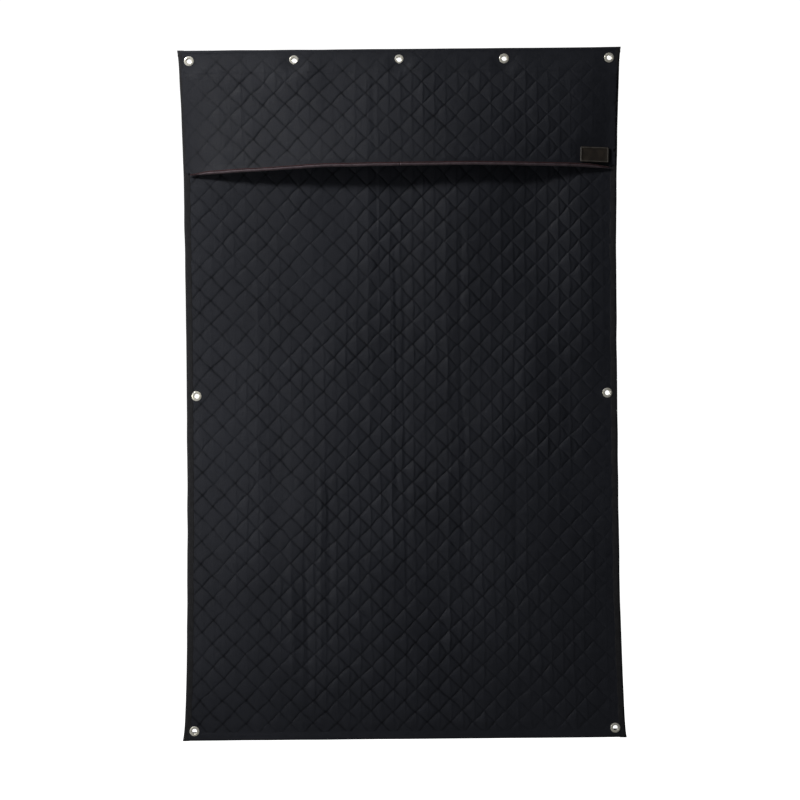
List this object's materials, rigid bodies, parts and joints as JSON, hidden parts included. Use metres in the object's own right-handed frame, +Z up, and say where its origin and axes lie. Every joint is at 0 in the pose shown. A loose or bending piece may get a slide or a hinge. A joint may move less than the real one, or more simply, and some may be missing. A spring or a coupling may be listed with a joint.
{
  "type": "quilted stable curtain",
  "caption": "Padded, diamond-quilted hanging curtain with metal eyelets along its top, sides and foot, and a bowed quilted flap across its head.",
  "frame": {"origin": "centre of the middle eyelet of the top row, on the curtain's mid plane", "axes": "+Z up the hanging curtain, +X across it to the viewer's right, -Y out of its front"},
  "size_m": [1.312, 0.0641, 2.051],
  "materials": {
    "shell_cloth": "satin",
    "lining_cloth": "matte",
    "wadding": "matte",
    "binding_tape": "matte",
    "lip_tape": "matte",
    "webbing": "matte",
    "eyelet_metal": "polished",
    "label_leather": "satin",
    "thread": "satin"
  },
  "bodies": {
    "panel": {"header_face": "shell_cloth", "header_webbing": "webbing", "upper_face": "shell_cloth", "upper_wadding": "wadding", "upper_lining": "lining_cloth", "left_binding_upper": "binding_tape", "right_binding_upper": "binding_tape", "patch_mid_left": "webbing", "patch_mid_right": "webbing", "eyelet_top_1": "eyelet_metal", "eyelet_top_2": "eyelet_metal", "eyelet_top_3": "eyelet_metal", "eyelet_top_4": "eyelet_metal", "eyelet_top_5": "eyelet_metal", "eyelet_mid_left": "eyelet_metal", "eyelet_mid_right": "eyelet_metal", "washer_top_1": "eyelet_metal", "washer_top_2": "eyelet_metal", "washer_top_3": "eyelet_metal", "washer_top_4": "eyelet_metal", "washer_top_5": "eyelet_metal", "washer_mid_left": "eyelet_metal", "washer_mid_right": "eyelet_metal"},
    "lower_panel": {"lower_face": "shell_cloth", "lower_wadding": "wadding", "lower_lining": "lining_cloth", "bottom_hem": "shell_cloth", "left_binding_lower": "binding_tape", "right_binding_lower": "binding_tape", "patch_foot_left": "webbing", "patch_foot_right": "webbing", "eyelet_foot_left": "eyelet_metal", "eyelet_foot_right": "eyelet_metal", "washer_foot_left": "eyelet_metal", "washer_foot_right": "eyelet_metal"},
    "flap": {"flap_face": "shell_cloth", "flap_wadding": "wadding", "flap_lining": "lining_cloth", "lip_binding": "lip_tape", "label": "label_leather", "label_stitching": "thread"}
  },
  "joints": [
    {"name": "panel_fold", "type": "hinge", "parent": "panel", "child": "lower_panel", "pos_m": [0, 0.0055, -1.028], "axis": [1, 0, 0], "range_deg": [0, 175]},
    {"name": "flap_lift", "type": "hinge", "parent": "panel", "child": "flap", "pos_m": [0, -0.008, -0.035], "axis": [-1, 0, 0], "range_deg": [0, 25]}
  ]
}
